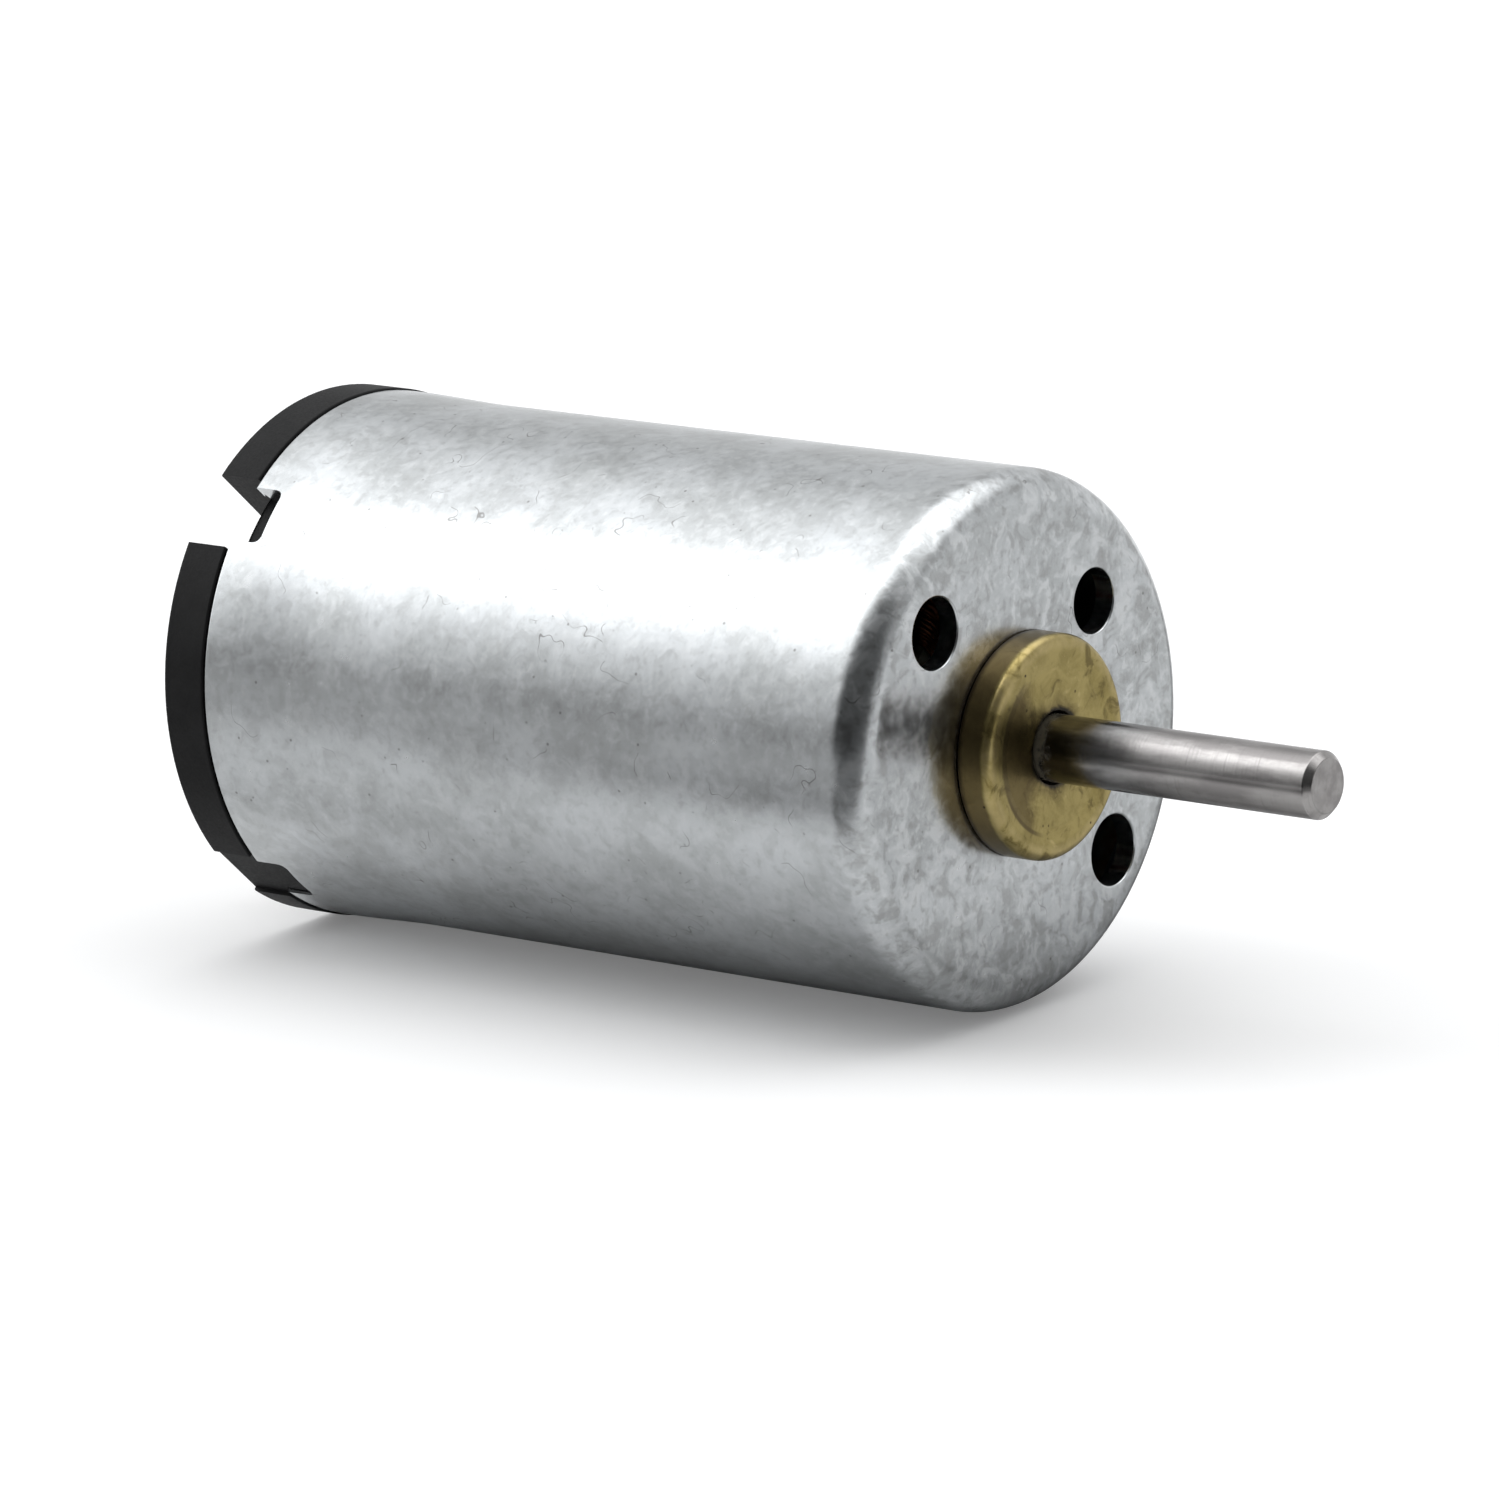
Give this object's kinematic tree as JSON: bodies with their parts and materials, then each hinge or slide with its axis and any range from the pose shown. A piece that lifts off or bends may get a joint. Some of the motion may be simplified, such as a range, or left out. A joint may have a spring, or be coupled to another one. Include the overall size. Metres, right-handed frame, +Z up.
{
  "type": "electric motor",
  "caption": "Small round brushed DC motor: zinc-plated steel can, brass bearing boss, thin plain shaft, black plastic end cap with two tab terminals.",
  "frame": {"origin": "centre of the front mounting face, on the shaft axis", "axes": "+X along the shaft, out of the front; +Z up; the front holes are on the diagonals between Y and Z"},
  "size_m": [0.03, 0.0122, 0.0122],
  "materials": {
    "zinc_steel": "satin zinc plate, finely mottled",
    "brass": "turned, slightly tarnished",
    "black_plastic": "matte",
    "ground_steel": "ground and polished",
    "sintered_bronze": "oily, porous",
    "ferrite": "matte",
    "spring_steel": "satin",
    "silicon_steel": "satin",
    "nylon": "satin",
    "enamelled_copper": "gloss enamel",
    "copper": "turned",
    "brown_resin": "satin",
    "gray_ceramic": "matte",
    "phosphor_bronze": "rolled",
    "carbon": "matte",
    "tin_plate": "satin tin plate"
  },
  "bodies": {
    "housing": {"can": "zinc_steel", "front_bearing": "brass", "end_cap": "black_plastic", "rear_bearing": "sintered_bronze", "magnet_right": "ferrite", "magnet_left": "ferrite", "magnet_clip_top": "spring_steel", "magnet_clip_bottom": "spring_steel", "terminal_a": "tin_plate", "terminal_b": "tin_plate", "brush_arm_a": "phosphor_bronze", "brush_arm_b": "phosphor_bronze", "brush_a": "carbon", "brush_b": "carbon"},
    "rotor": {"shaft": "ground_steel", "lamination_01": "silicon_steel", "lamination_02": "silicon_steel", "lamination_03": "silicon_steel", "lamination_04": "silicon_steel", "lamination_05": "silicon_steel", "lamination_06": "silicon_steel", "lamination_07": "silicon_steel", "lamination_08": "silicon_steel", "lamination_09": "silicon_steel", "lamination_10": "silicon_steel", "lamination_11": "silicon_steel", "lamination_12": "silicon_steel", "lamination_13": "silicon_steel", "lamination_14": "silicon_steel", "lamination_15": "silicon_steel", "lamination_16": "silicon_steel", "insulator_front": "nylon", "insulator_rear": "nylon", "coil_a": "enamelled_copper", "coil_b": "enamelled_copper", "coil_c": "enamelled_copper", "commutator_core": "brown_resin", "commutator_segment_a": "copper", "commutator_segment_b": "copper", "commutator_segment_c": "copper", "commutator_ring": "nylon", "varistor": "gray_ceramic", "spacer_sleeve": "nylon", "washer_steel": "spring_steel", "washer_front": "nylon", "washer_rear": "nylon"}
  },
  "joints": [
    {"name": "shaft_spin", "type": "hinge", "parent": "housing", "child": "rotor", "pos_m": [0, 0, 0], "axis": [1, 0, 0], "continuous": true}
  ]
}
